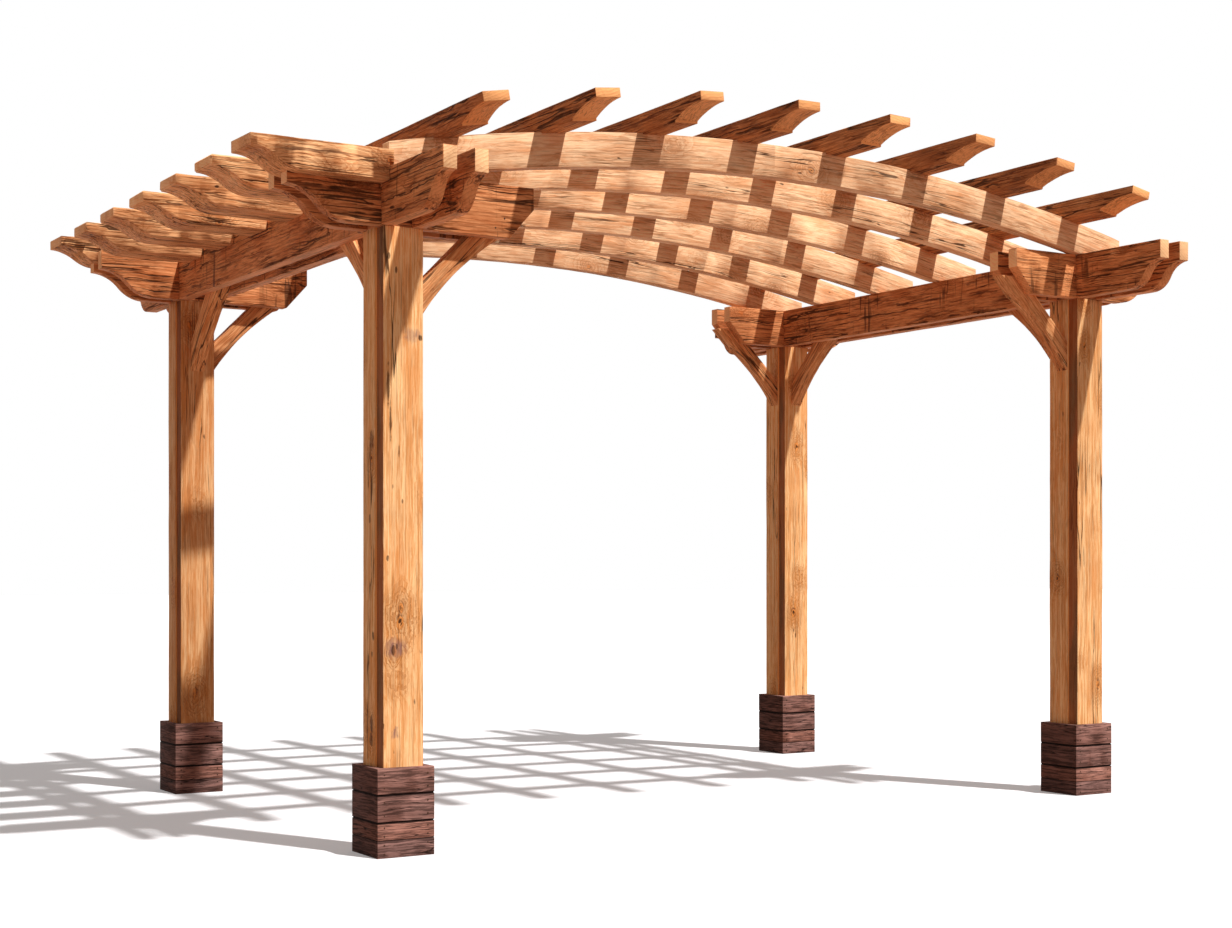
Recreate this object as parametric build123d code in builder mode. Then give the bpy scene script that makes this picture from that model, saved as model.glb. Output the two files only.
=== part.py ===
"""Arched-roof timber pergola: four posts on boarded plinths, paired beams, arched rafters, tails and purlins.

All lengths are in millimetres. The origin is on the ground under the middle of the
bounding box, +X runs along the long side, +Y from front to back and +Z up.
"""

import math
import os

from build123d import *

os.makedirs("parts", exist_ok=True)

# Posts
post_span_x = 3660
post_span_y = 2340
post_size = 186
post_face_inset = 9
post_face_thick = 56
post_height = 2400
tenon_clear = 0.5
tenon_height_share = 0.8

# Plinth boards around the foot of each post
plinth_board = 26
plinth_courses = [66, 65, 101, 99]
plinth_gaps = [1, 4, 4]

# Paired beams and cross heads
plank_thick = 58
plank_depth = 208
plank_face_share = 0.42
beam_overhang = 524
beam_ogee = 200
head_overhang = 379
head_ogee = 260
head_inner_left = 478
head_inner_right = 388
head_clip = 110
lap_clear = 0.5
lap_share = 0.5

# Knee braces
brace_leg = 345
brace_width = 98
brace_hollow = 26
brace_rise_share = 0.4

# Arched rafters
arch_count = 6
arch_thick = 60
arch_depth = 140
arch_radius = 9000
arch_overhang = 34
arch_seat_reveal = 19
arch_left_short = 17
arch_right_past = 73

# Rafter tails on the left beam pair
tail_count = 7
tail_thick = 195
tail_depth = 115
tail_seat = 52
tail_forward = 75
tail_overhang = 550
tail_face = 43
tail_ogee = 217

# Purlins
purlin_count = 8
purlin_inset = 258
purlin_width = 112
purlin_depth = 88
purlin_overhang = 430
purlin_housing = 6
purlin_face = 38
purlin_cove = 188
purlin_step = 9

# Places worked out from the sizes above
half_x = post_span_x / 2
half_y = post_span_y / 2
outer_x = half_x + post_size / 2
outer_y = half_y + post_size / 2
inner_x = half_x - post_size / 2
shift_x = (tail_overhang - head_overhang) / 2
plank_gap = post_size - 2 * plank_thick
plank_offset = (post_size - plank_thick) / 2
plank_under = post_height
plank_top = plank_under + plank_depth
plank_face = plank_depth * plank_face_share
lap_depth = plank_depth * lap_share
seat_x = inner_x - arch_seat_reveal
arch_centre_z = plank_top - math.sqrt(arch_radius**2 - seat_x**2)
arch_outer_radius = arch_radius + arch_depth
arch_end_y = outer_y + arch_overhang - arch_thick / 2
arch_pitch = 2 * arch_end_y / (arch_count - 1)
arch_places = [-arch_end_y + arch_pitch * i for i in range(arch_count)]
arch_left_x = outer_x - arch_left_short
tail_end_y = half_y + tail_forward
tail_pitch = 2 * tail_end_y / (tail_count - 1)
tail_places = [-tail_end_y + tail_pitch * i for i in range(tail_count)]
purlin_end_x = outer_x - purlin_inset
purlin_pitch = 2 * purlin_end_x / (purlin_count - 1)
purlin_places = [-purlin_end_x + purlin_pitch * i for i in range(purlin_count)]

# Each corner: name, side along X, side along Y
corners = [
    ("front_left", -1, -1),
    ("front_right", 1, -1),
    ("back_left", -1, 1),
    ("back_right", 1, 1),
]


def ogee(start, end, along):
    """S-shaped edge from start to end, level at both ends; along is +1 or -1 in the run."""
    middle = ((start[0] + end[0]) / 2, (start[1] + end[1]) / 2)
    TangentArc(start, middle, tangent=(along, 0))
    TangentArc(end, middle, tangent=(-along, 0))


def make_post():
    """Square post, its front and back set in at both sides, with a tenon on top, standing at the origin."""
    with BuildPart() as post:
        with BuildSketch():
            Rectangle(post_size, post_size)
            with GridLocations(post_size, post_size, 2, 2):
                Rectangle(2 * post_face_inset, 2 * post_face_thick, mode=Mode.SUBTRACT)
        extrude(amount=post_height)
        with BuildSketch(Plane.XY.offset(post_height)):
            Rectangle(plank_gap - 2 * tenon_clear, plank_gap - 2 * tenon_clear)
        extrude(amount=plank_depth * tenon_height_share)
    return post.part


def make_plinth():
    """Courses of boards wrapped round a post foot: a tight joint low down, shadow gaps above it."""
    with BuildPart() as plinth:
        level = 0
        for course, gap in zip(plinth_courses, [*plinth_gaps, 0]):
            with BuildSketch(Plane.XY.offset(level)):
                Rectangle(post_size + 2 * plinth_board, post_size + 2 * plinth_board)
                Rectangle(post_size, post_size, mode=Mode.SUBTRACT)
            extrude(amount=course)
            level = level + course + gap
    return plinth.part


def make_beam():
    """Beam plank along Y with ogee ends, halved from below over the cross heads."""
    tip = outer_y + beam_overhang
    shoulder = plank_top - plank_face
    with BuildPart() as beam:
        with BuildSketch(Plane.YZ):
            with BuildLine():
                Polyline((-tip, shoulder), (-tip, plank_top), (tip, plank_top), (tip, shoulder))
                ogee((tip, shoulder), (tip - beam_ogee, plank_under), -1)
                Line((tip - beam_ogee, plank_under), (-tip + beam_ogee, plank_under))
                ogee((-tip, shoulder), (-tip + beam_ogee, plank_under), 1)
            make_face()
            for side in (-1, 1):
                with Locations((side * half_y, plank_under + lap_depth / 2)):
                    with GridLocations(2 * plank_offset, 0, 2, 1):
                        Rectangle(plank_thick + 2 * lap_clear, lap_depth, mode=Mode.SUBTRACT)
        extrude(amount=plank_thick / 2, both=True)
    return beam.part


def make_head(side):
    """Pair of cross-head planks on one post, halved from above under the beams; side is the outer way."""
    tip = side * (outer_x + head_overhang)
    head_inner = head_inner_left if side < 0 else head_inner_right
    heel = side * (inner_x - head_inner)
    shoulder = plank_top - plank_face
    ogee_end = tip - side * head_ogee
    clip_end = heel + side * head_clip
    with BuildPart() as head:
        with BuildSketch(Plane.XZ):
            with BuildLine():
                ogee((tip, shoulder), (ogee_end, plank_under), -side)
                Polyline((ogee_end, plank_under), (clip_end, plank_under), (heel, shoulder))
                Polyline((heel, shoulder), (heel, plank_top), (tip, plank_top), (tip, shoulder))
            make_face()
            with Locations((side * half_x, plank_top - lap_depth / 2)):
                with GridLocations(2 * plank_offset, 0, 2, 1):
                    Rectangle(plank_thick + 2 * lap_clear, lap_depth, mode=Mode.SUBTRACT)
        extrude(amount=plank_thick / 2, both=True)
    return head.part


def make_brace():
    """Knee brace in the XZ plane: foot against X = 0, head running up into the plank gap."""
    rise = plank_depth * brace_rise_share
    band = brace_width * math.sqrt(2)
    sink = brace_hollow / math.sqrt(2)
    with BuildPart() as brace:
        with BuildSketch(Plane.XZ):
            with BuildLine():
                ThreePointArc((0, -brace_leg), (brace_leg / 2 - sink, sink - brace_leg / 2), (brace_leg, 0))
                Polyline(
                    (brace_leg, 0),
                    (brace_leg + rise, rise),
                    (brace_leg + rise - band, rise),
                    (0, band - brace_leg),
                    (0, -brace_leg),
                )
            make_face()
        extrude(amount=plank_gap / 2, both=True)
    return brace.part


def arch_height(radius, x):
    """Height of an arch edge of the given radius at a distance x from the middle."""
    return arch_centre_z + math.sqrt(radius**2 - x**2)


def make_arch():
    """Arched rafter across the span, cut level where it seats on both beam pairs and past the right one."""
    left = arch_left_x
    right = outer_x + arch_right_past
    left_top = arch_height(arch_outer_radius, left)
    right_top = arch_height(arch_outer_radius, right)
    crown = arch_centre_z + arch_outer_radius
    with BuildPart() as arch:
        with BuildSketch(Plane.XZ):
            with BuildLine():
                ThreePointArc((-left, left_top), (0, crown), (right, right_top))
                Polyline((right, right_top), (right, plank_top), (seat_x, plank_top))
                ThreePointArc((seat_x, plank_top), (0, crown - arch_depth), (-seat_x, plank_top))
                Polyline((-seat_x, plank_top), (-left, plank_top), (-left, left_top))
            make_face()
        extrude(amount=arch_thick / 2, both=True)
    return arch.part


def make_tail(heel):
    """Rafter tail notched over the left beams, its shaped end outside; heel is how far in it stops."""
    tip = -outer_x - tail_overhang
    under = plank_top - tail_seat
    top = under + tail_depth
    with BuildPart() as tail:
        with BuildSketch(Plane.XZ):
            with BuildLine():
                ogee((tip, top - tail_face), (tip + tail_ogee, under), 1)
                Polyline((tip + tail_ogee, under), (-outer_x, under), (-outer_x, plank_top))
                Polyline((-outer_x, plank_top), (-heel, plank_top), (-heel, top), (tip, top))
                Line((tip, top), (tip, top - tail_face))
            make_face()
        extrude(amount=tail_thick / 2, both=True)
    return tail.part


def make_purlin():
    """Purlin along Y with coved ends, its underside at Z = 0."""
    tip = outer_y + arch_overhang + purlin_overhang
    face_under = purlin_depth - purlin_face
    with BuildPart() as purlin:
        with BuildSketch(Plane.YZ):
            with BuildLine():
                Polyline((-tip, face_under), (-tip, purlin_depth), (tip, purlin_depth), (tip, face_under))
                TangentArc((tip, face_under), (tip - purlin_cove, purlin_step), tangent=(-1, 0))
                Polyline(
                    (tip - purlin_cove, purlin_step),
                    (tip - purlin_cove, 0),
                    (-tip + purlin_cove, 0),
                    (-tip + purlin_cove, purlin_step),
                )
                TangentArc((-tip, face_under), (-tip + purlin_cove, purlin_step), tangent=(1, 0))
            make_face()
        extrude(amount=purlin_width / 2, both=True)
    return purlin.part


def write(part, name):
    """Labels a finished piece and writes it to its own file."""
    part.label = name
    export_step(part, f"parts/{name}.step")


post_shape = make_post()
plinth_shape = make_plinth()
brace_shape = make_brace()
heads = {side: make_head(side) for side in (-1, 1)}

for corner, side_x, side_y in corners:
    place = Location((side_x * half_x + shift_x, side_y * half_y, 0))

    with BuildPart() as post:
        with Locations(place):
            add(post_shape)
    write(post.part, f"post_{corner}")

    with BuildPart() as plinth:
        with Locations(place):
            add(plinth_shape)
    write(plinth.part, f"plinth_{corner}")

    with BuildPart() as cross_head:
        with Locations((shift_x, side_y * half_y, 0)):
            with GridLocations(0, 2 * plank_offset, 1, 2):
                add(heads[side_x])
    write(cross_head.part, f"cross_head_{corner}")

    across_turn = 0 if side_x < 0 else 180
    foot_x = side_x * inner_x + shift_x
    with BuildPart() as brace_across:
        with Locations(Location((foot_x, side_y * half_y, plank_under), (0, 0, across_turn))):
            add(brace_shape)
    write(brace_across.part, f"brace_across_{corner}")

    along_turn = 90 if side_y < 0 else -90
    foot_y = side_y * (half_y - post_size / 2)
    with BuildPart() as brace_along:
        with Locations(Location((side_x * half_x + shift_x, foot_y, plank_under), (0, 0, along_turn))):
            add(brace_shape)
    write(brace_along.part, f"brace_along_{corner}")

beam_shape = make_beam()
for name, side, offset in [
    ("beam_left_outer", -1, -plank_offset),
    ("beam_left_inner", -1, plank_offset),
    ("beam_right_inner", 1, -plank_offset),
    ("beam_right_outer", 1, plank_offset),
]:
    with BuildPart() as beam:
        with Locations((side * half_x + offset + shift_x, 0, 0)):
            add(beam_shape)
    write(beam.part, name)

arch_shape = make_arch()
for number, y in enumerate(arch_places, 1):
    with BuildPart() as arch_rafter:
        with Locations((shift_x, y, 0)):
            add(arch_shape)
    write(arch_rafter.part, f"arch_rafter_{number}")

# The end tails saddle the cross heads and butt against the arches; the others run in beside them.
end_tail = make_tail(arch_left_x)
mid_tail = make_tail(inner_x)
for number, y in enumerate(tail_places, 1):
    with BuildPart() as rafter_tail:
        with Locations((shift_x, y, 0)):
            add(end_tail if number in (1, tail_count) else mid_tail)
        with Locations((shift_x, -half_y, 0), (shift_x, half_y, 0)):
            with GridLocations(0, 2 * plank_offset, 1, 2):
                add(heads[-1], mode=Mode.SUBTRACT)
        with Locations([(shift_x, arch_y, 0) for arch_y in arch_places]):
            add(arch_shape, mode=Mode.SUBTRACT)
    write(rafter_tail.part, f"rafter_tail_{number}")

purlin_shape = make_purlin()
for number, x in enumerate(purlin_places, 1):
    lean = math.degrees(math.asin(x / arch_outer_radius))
    seat_radius = arch_outer_radius - purlin_housing
    seat_z = arch_centre_z + seat_radius * math.cos(math.radians(lean))
    seat_at_x = seat_radius * math.sin(math.radians(lean))
    with BuildPart() as purlin:
        with Locations(Location((seat_at_x + shift_x, 0, seat_z), (0, lean, 0))):
            add(purlin_shape)
        with Locations([(shift_x, y, 0) for y in arch_places]):
            add(arch_shape, mode=Mode.SUBTRACT)
    write(purlin.part, f"purlin_{number}")
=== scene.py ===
"""Dressed scene of an arched-roof timber pergola, laid out as an add-on and run as a script."""

import math

import bmesh
import bpy
from bpy.props import FloatProperty, FloatVectorProperty, IntProperty, PointerProperty
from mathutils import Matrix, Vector, noise


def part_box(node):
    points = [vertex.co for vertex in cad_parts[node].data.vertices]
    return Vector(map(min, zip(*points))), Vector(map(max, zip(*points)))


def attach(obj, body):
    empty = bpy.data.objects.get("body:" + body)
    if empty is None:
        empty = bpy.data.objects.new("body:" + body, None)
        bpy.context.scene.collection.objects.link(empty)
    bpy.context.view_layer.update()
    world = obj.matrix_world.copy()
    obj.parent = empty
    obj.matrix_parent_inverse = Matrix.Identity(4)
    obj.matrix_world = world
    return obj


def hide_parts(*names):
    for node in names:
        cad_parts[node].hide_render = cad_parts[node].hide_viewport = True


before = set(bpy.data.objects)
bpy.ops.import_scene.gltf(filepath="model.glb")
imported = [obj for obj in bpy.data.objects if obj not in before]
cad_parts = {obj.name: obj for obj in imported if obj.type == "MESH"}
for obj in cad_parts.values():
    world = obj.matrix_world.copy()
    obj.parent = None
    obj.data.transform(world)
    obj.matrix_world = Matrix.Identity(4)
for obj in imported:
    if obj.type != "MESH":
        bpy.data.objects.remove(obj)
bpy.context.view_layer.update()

bl_info = {
    "name": "Arched timber pergola",
    "version": (1, 0, 0),
    "blender": (4, 5, 0),
    "location": "3D View > Sidebar > Pergola",
    "description": "Dresses the frame of a rough-sawn arched-roof pergola",
    "category": "Object",
}

CORNERS = ("front_left", "front_right", "back_left", "back_right")
ARCHES, TAILS, PURLINS = 6, 7, 8
ALONG_X, ALONG_Y, ALONG_Z = Vector((1, 0, 0)), Vector((0, 1, 0)), Vector((0, 0, 1))


def colour(name, words, default):
    """Colour setting with its default in linear light."""
    return FloatVectorProperty(
        name=name, description=words, subtype="COLOR", size=3, min=0, max=1, default=default
    )


def length(name, words, default):
    """Length setting in metres."""
    return FloatProperty(name=name, description=words, default=default, min=0, unit="LENGTH", precision=4)


class TimberSettings(bpy.types.PropertyGroup):
    """Surface of the sawn timber."""

    arris: length("Arris", "Width of the eased corners", 0.003)
    wander: length("Wander", "How far a sawn face wanders", 0.0016)
    chipping: length("Chipping", "Depth of the knocks along the corners", 0.004)
    cove_reach: length("Cove reach", "How far the fresh cut at a purlin's end reaches in", 0.192)
    ring_step: length("Ring step", "Distance between growth rings", 0.0125)
    honey: colour("Honey", "Pale early wood of the posts", (1.0, 0.655, 0.335))
    amber: colour("Amber", "Late wood of the posts", (0.72, 0.30, 0.088))
    umber: colour("Umber", "Dark streaks and knots", (0.085, 0.030, 0.013))
    beam_honey: colour("Beam honey", "Early wood of the beams and heads", (0.84, 0.375, 0.16))
    beam_amber: colour("Beam amber", "Late wood of the beams and heads", (0.47, 0.15, 0.047))
    brace_honey: colour("Brace honey", "Early wood of the braces", (0.92, 0.49, 0.225))
    brace_amber: colour("Brace amber", "Late wood of the braces", (0.57, 0.20, 0.062))
    arch_honey: colour("Arch honey", "Early wood of the arches", (1.0, 0.70, 0.43))
    arch_amber: colour("Arch amber", "Late wood of the arches", (0.77, 0.385, 0.185))
    tail_honey: colour("Tail honey", "Early wood of the tails", (1.0, 0.585, 0.29))
    tail_amber: colour("Tail amber", "Late wood of the tails", (0.64, 0.25, 0.09))
    purlin_honey: colour("Purlin honey", "Early wood of the purlins", (0.64, 0.27, 0.108))
    purlin_amber: colour("Purlin amber", "Late wood of the purlins", (0.31, 0.097, 0.03))
    # Fresh cut ends, and painted bounce light on the coves of the purlins.
    purlin_end_and_cove_light: colour("Purlin end", "Cut ends and coves of the purlins", (0.95, 0.46, 0.185))
    # Painted bounce light on the undersides of the beams and heads.
    underside_bounce: colour("Underside_bounce", "Undersides of the beams and heads", (0.92, 0.50, 0.27))
    beam_end: colour("Beam end", "Cut ends of the beams and heads", (1.0, 0.66, 0.36))
    bruise: colour("Bruise", "Grey bruise beside the knots", (0.25, 0.132, 0.115))
    # Painted shade down the set-in corners of the posts.
    recess_shade: colour("Recess_shade", "Dark stain down the set-in corners of the posts", (0.30, 0.085, 0.028))
    # Painted highlight on the narrow ledges beside the set-in faces, which lie in shade.
    ledge_highlight: colour("Ledge", "Narrow ledge beside the set-in faces of the posts", (1.0, 0.45, 0.14))


class PlinthSettings(bpy.types.PropertyGroup):
    """Dark boards round the post feet."""

    walnut: colour("Walnut", "Main colour of the boards", (0.21, 0.116, 0.103))
    russet: colour("Russet", "Pale streaks", (0.385, 0.212, 0.186))
    chestnut: colour("Chestnut", "Redder boards", (0.34, 0.135, 0.085))
    soot: colour("Soot", "Dark grain and gaps", (0.022, 0.012, 0.010))
    strip_inset: length("Strip inset", "How far the packing strips sit back from the boards", 0.003)
    joint_share: FloatProperty(
        name="Joint share", description="Half width of a dark joint as a share of its gap", default=1.05, min=0
    )


class FixingSettings(bpy.types.PropertyGroup):
    """Nail heads."""

    head_radius: length("Head radius", "Radius of a nail head", 0.0036)
    head_height: length("Head height", "How far a nail head stands proud", 0.0014)
    sides: IntProperty(name="Sides", description="Sides of a nail head", default=10, min=6, max=24)
    seed: IntProperty(name="Seed", description="Seed of the small size changes", default=4)
    iron: colour("Iron", "Colour of the nails", (0.045, 0.032, 0.026))
    rust: colour("Rust", "Rust on the nails", (0.16, 0.062, 0.028))
    inset: length("Inset", "Distance of a nail from a board's end, or from the middle of a purlin", 0.028)
    stagger: length("Stagger", "How far the nails in a purlin sit from the middle of the arch", 0.012)
    brace_reach: length("Brace reach", "Distance from a post's face to the nails into its brace", 0.27)
    tenon_spread: length("Tenon spread", "How far the nails into a tenon sit from its middle", 0.04)


class StageSettings(bpy.types.PropertyGroup):
    """Floor, light and camera."""

    floor: colour("Floor", "Colour of the floor", (0.92, 0.91, 0.945))
    bounce: colour("Bounce", "Light that the floor throws back on the timber", (0.31, 0.205, 0.165))
    floor_reach: length("Floor reach", "Half the width of the floor", 60.0)
    sun: FloatProperty(name="Sun", description="Strength of the sun lamp", default=4.55, min=0)
    sun_tint: colour("Sun tint", "Colour of the sunlight", (1.0, 0.99, 0.96))
    sun_width: FloatProperty(
        name="Sun width", description="Apparent width of the sun", default=math.radians(1.6), subtype="ANGLE"
    )
    sun_way: FloatVectorProperty(
        name="Sun way", description="The way the sunlight travels", subtype="XYZ", default=(-0.43, 1.0, -1.75)
    )
    sky: FloatProperty(name="Sky", description="Strength of the soft light", default=0.27, min=0)
    sky_tint: colour("Sky tint", "Colour of the soft light", (1.0, 0.89, 0.82))
    lift: FloatProperty(
        name="Lift", description="Share of white in the floor's shadow", default=0.20, min=0, max=1
    )
    lens: FloatProperty(name="Lens", description="Focal length", default=54.37, min=1, unit="CAMERA")
    stand: FloatVectorProperty(
        name="Stand", description="Where the camera stands", subtype="TRANSLATION",
        default=(-4.7945, -7.726, 1.109),
    )
    turn: FloatProperty(
        name="Turn", description="Turn of the camera to the right", default=0.5547, subtype="ANGLE"
    )
    rise: FloatProperty(name="Rise", description="Upward shift of the view", default=0.0822)


class Value:
    """A socket that sums can be written on."""

    def __init__(self, tree, socket):
        self.tree, self.socket = tree, socket

    def __add__(self, other):
        return self.tree.sum("ADD", self, other)

    def __sub__(self, other):
        return self.tree.sum("SUBTRACT", self, other)

    def __rsub__(self, other):
        return self.tree.sum("SUBTRACT", other, self)

    def __mul__(self, other):
        return self.tree.sum("MULTIPLY", self, other)

    def __truediv__(self, other):
        return self.tree.sum("DIVIDE", self, other)

    def __rtruediv__(self, other):
        return self.tree.sum("DIVIDE", other, self)

    def __pow__(self, other):
        return self.tree.sum("POWER", self, other)

    def __rpow__(self, other):
        return self.tree.sum("POWER", other, self)

    __radd__ = __add__
    __rmul__ = __mul__


class Tree:
    """A node tree that is built by calls."""

    def __init__(self, tree):
        self.tree = tree

    def node(self, kind, settings=(), inputs=()):
        """Adds a node, sets it up, then fills or links its inputs."""
        made = self.tree.nodes.new(kind)
        for key, value in dict(settings).items():
            setattr(made, key, value)
        for key, value in dict(inputs).items():
            self.feed(made.inputs[key], value)
        return made

    def feed(self, socket, value):
        """Links a value to a socket, or sets it."""
        if isinstance(value, Value):
            self.tree.links.new(value.socket, socket)
        elif isinstance(value, bpy.types.NodeSocket):
            self.tree.links.new(value, socket)
        elif hasattr(value, "__len__") and len(value) == 3 and len(socket.default_value) == 4:
            socket.default_value = (*value, 1)
        else:
            socket.default_value = value

    def sum(self, operation, a, b=0.0):
        return Value(self, self.node("ShaderNodeMath", {"operation": operation}, {0: a, 1: b}).outputs[0])


class Shader(Tree):
    """Node tree of one material, written as expressions."""

    def __init__(self, name):
        self.material = bpy.data.materials.new(name)
        self.material.use_nodes = True
        super().__init__(self.material.node_tree)
        self.surface = self.tree.nodes["Principled BSDF"]

    def smooth(self, value, low, high):
        """0 below low, 1 above high, smooth between."""
        settings = {"interpolation_type": "SMOOTHSTEP"}
        return Value(self, self.node("ShaderNodeMapRange", settings, {0: value, 1: low, 2: high}).outputs[0])

    def fade(self, value, low, high):
        """1 below low, 0 above high, smooth between."""
        return 1 - self.smooth(value, low, high)

    def thin(self, value, low, high):
        """A line where a value passes zero."""
        return self.fade(self.sum("ABSOLUTE", value), low, high)

    def vector(self, x, y, z):
        return Value(self, self.node("ShaderNodeCombineXYZ", (), {0: x, 1: y, 2: z}).outputs[0])

    def parts(self, vector):
        return [Value(self, socket) for socket in self.node("ShaderNodeSeparateXYZ", (), {0: vector}).outputs]

    def noise(self, x, y, z, detail=2.0, roughness=0.5):
        inputs = {"Vector": self.vector(x, y, z), "Scale": 1.0, "Detail": detail, "Roughness": roughness}
        return Value(self, self.node("ShaderNodeTexNoise", (), inputs).outputs["Fac"])

    def position(self):
        """The three coordinates of a place on the piece."""
        return self.parts(Value(self, self.node("ShaderNodeTexCoord").outputs["Object"]))

    def away(self, *steps):
        """Length of the way that the steps along the axes make."""
        total = steps[0] * steps[0]
        for step in steps[1:]:
            total = total + step * step
        return self.sum("SQRT", total)

    def nearest(self, place, close_u, close_v, stretch, shift=0.0):
        """Distance to the nearest of some scattered points; stretch draws the distance out along the grain."""
        u, v, w = place
        u, v, w = u * close_u + shift, v * close_v, w * close_v
        inputs = {"Vector": self.vector(u, v, w), "Scale": 1.0, "Randomness": 1.0}
        made = self.node("ShaderNodeTexVoronoi", {"feature": "F1"}, inputs)
        at_u, at_v, at_w = self.parts(Value(self, made.outputs["Position"]))
        return self.away((u - at_u) / (close_u * stretch), (v - at_v) / close_v, (w - at_w) / close_v)

    def mix(self, share, a, b, blend="MIX"):
        settings = {"data_type": "RGBA", "blend_type": blend}
        return Value(self, self.node("ShaderNodeMix", settings, {0: share, 6: a, 7: b}).outputs[2])

    def attribute(self, name, output):
        return Value(self, self.node("ShaderNodeAttribute", {"attribute_name": name}).outputs[output])

    def finish(self, skin, roughness, relief, strength, depth, gloss=0.10):
        self.feed(self.surface.inputs["Base Color"], skin)
        self.feed(self.surface.inputs["Roughness"], roughness)
        self.surface.inputs["Specular IOR Level"].default_value = gloss
        bump = self.node("ShaderNodeBump", (), {"Strength": strength, "Distance": depth, "Height": relief})
        self.feed(self.surface.inputs["Normal"], bump.outputs[0])
        return self.material


def deeper(paint, share):
    """A darker shade of a colour."""
    return tuple(channel * share for channel in paint)


def timber_material(
    name, honey, amber, streaks=0.5, checks=0.6, knots=1.0, flecks=0.6, rings=0.48, veins=0.5, waving=0.010,
    smears=0.4, clouds=0.34, grit=150, lines=0.0, drips=0.0, marks=(), bruises=(), spots=(), cut=None,
):
    """Sawn softwood: growth rings round a wandering heart, fibres, dark streaks, checks, knots and flecks."""
    timber = bpy.context.scene.pergola_timber
    umber = tuple(timber.umber)
    shader = Shader(name)
    u, v, w = shader.parts(shader.attribute("grain", "Vector"))
    tone = shader.attribute("tone", "Fac")
    arris = shader.attribute("arris", "Fac")
    end = shader.attribute("end_grain", "Fac")
    along = 1 - end

    # The heart of the tree wanders a little along the piece, and the fibres wave.
    v_bent = v + (shader.noise(u * 1.3, v * 3.0, w * 3.0) - 0.5) * 0.06
    w_bent = w + (shader.noise(u * 1.3 + 7.3, v * 3.0, w * 3.0) - 0.5) * 0.06
    wave = (shader.noise(u * 6, v * 14, w * 14, 3.0) - 0.5) * waving
    v_fine, w_fine = v + wave, w + wave

    # Knots sit in cells about half a metre long, and where they are given.
    away = shader.nearest((u, v, w), 2.1, 5.5, 1.4)
    for mark_u, mark_v, mark_w, size in marks:
        near = shader.away((u - mark_u) / 1.9, v - mark_v, w - mark_w)
        away = shader.sum("MINIMUM", away, near * (1 / size))
    ragged = shader.noise(u * 34, v * 55, w * 55, 3.0) - 0.5
    away = away + ragged * 0.016 + (shader.noise(u * 11 + 3, v * 19, w * 19) - 0.5) * 0.022
    swirl = shader.sum("EXPONENT", away * away * -300.0) * knots
    eye = shader.fade(away, 0.0055, 0.008) * shader.smooth(ragged, -0.07, 0.01) * knots
    knot = shader.fade(away, 0.009, 0.015) * knots
    halo = shader.fade(away, 0.02, 0.095) * knots
    loops = shader.sum("FRACT", away * 82.0 + ragged * 1.8) ** 1.3
    loops = loops * shader.fade(away, 0.035, 0.085) * knots
    rim = shader.thin(away - 0.0135, 0.001, 0.005) * knots
    rim = rim * shader.smooth(ragged, -0.08, 0.10)

    # Growth rings.
    ring = shader.away(v_bent, w_bent) / timber.ring_step + swirl * 5.0
    ring = ring + shader.noise(u * 4, v * 26, w * 26, 3.0) * 1.5
    late = shader.sum("FRACT", ring) ** 2.4
    late_fine = shader.sum("FRACT", ring * 2.63) ** 2.0

    # Fibres, bands and dark streaks run lengthwise.
    fibre = shader.noise(u * 10, v_fine * grit, w_fine * grit, 4.0, 0.68)
    thread = shader.noise(u * 3.2 + 17, v_fine * 120, w_fine * 120, 3.0, 0.6)
    band = shader.noise(u * 1.7, v_fine * 62, w_fine * 62, 3.0, 0.6)
    cloud = shader.noise(u * 2.2, v * 7, w * 7, 3.0)
    patch = shader.noise(u * 3.4 + 21, v * 13, w * 13, 3.0)
    streak = shader.smooth(band, 0.54, 0.70) * shader.smooth(cloud, 0.40, 0.64) * along

    # Veins are thin wavy lines, and smears are stained places across a few of them.
    line = shader.noise(u * 1.9 + 41, v_fine * 62, w_fine * 62, 2.0, 0.55) - 0.5
    vein = shader.thin(line, 0.008, 0.055) * along
    vein = vein * shader.smooth(shader.noise(u * 5 + 9, v * 20, w * 20, 2.0), 0.36, 0.62)
    smear = shader.smooth(shader.noise(u * 4.2 + 31, v_fine * 24, w_fine * 24, 4.0, 0.65), 0.58, 0.72) * along

    # Drying checks: thin dark lines along the grain, in places.
    split = shader.noise(u * 1.25 + 3.1, v_fine * 34, w_fine * 34, 1.5) - 0.5
    sparse = 0.55 - checks * 0.12
    opened = shader.smooth(shader.noise(u * 1.6 + 11, v * 9, w * 9), sparse, sparse + 0.13)
    check = shader.thin(split, 0.004, 0.010 + checks * 0.024) * opened * along

    # Small dark flecks such as old nail holes and pitch.
    hole = shader.nearest((u, v, w), 9.0, 14.0, 2.4, 5)
    fleck = shader.fade(hole + ragged * 0.016, 0.002, 0.0055) * along * flecks
    fleck = fleck * shader.smooth(patch, 0.45, 0.55)

    fine = shader.smooth(fibre, 0.43, 0.58) * along
    pattern = late * (swirl * 0.4 + rings) + late_fine * 0.14 + fine * (0.88 - rings)
    skin = shader.mix(pattern, honey, amber)
    rusty = (amber[0] * 0.95, amber[1] * 0.76, amber[2] * 0.55)
    skin = shader.mix(shader.smooth(patch, 0.48, 0.72) * 0.5, skin, rusty)
    threads = shader.smooth(thread, 0.52, 0.66) * along * (0.42 - lines * 0.5)
    skin = shader.mix(threads, skin, deeper(amber, 0.66))
    if lines:
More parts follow.
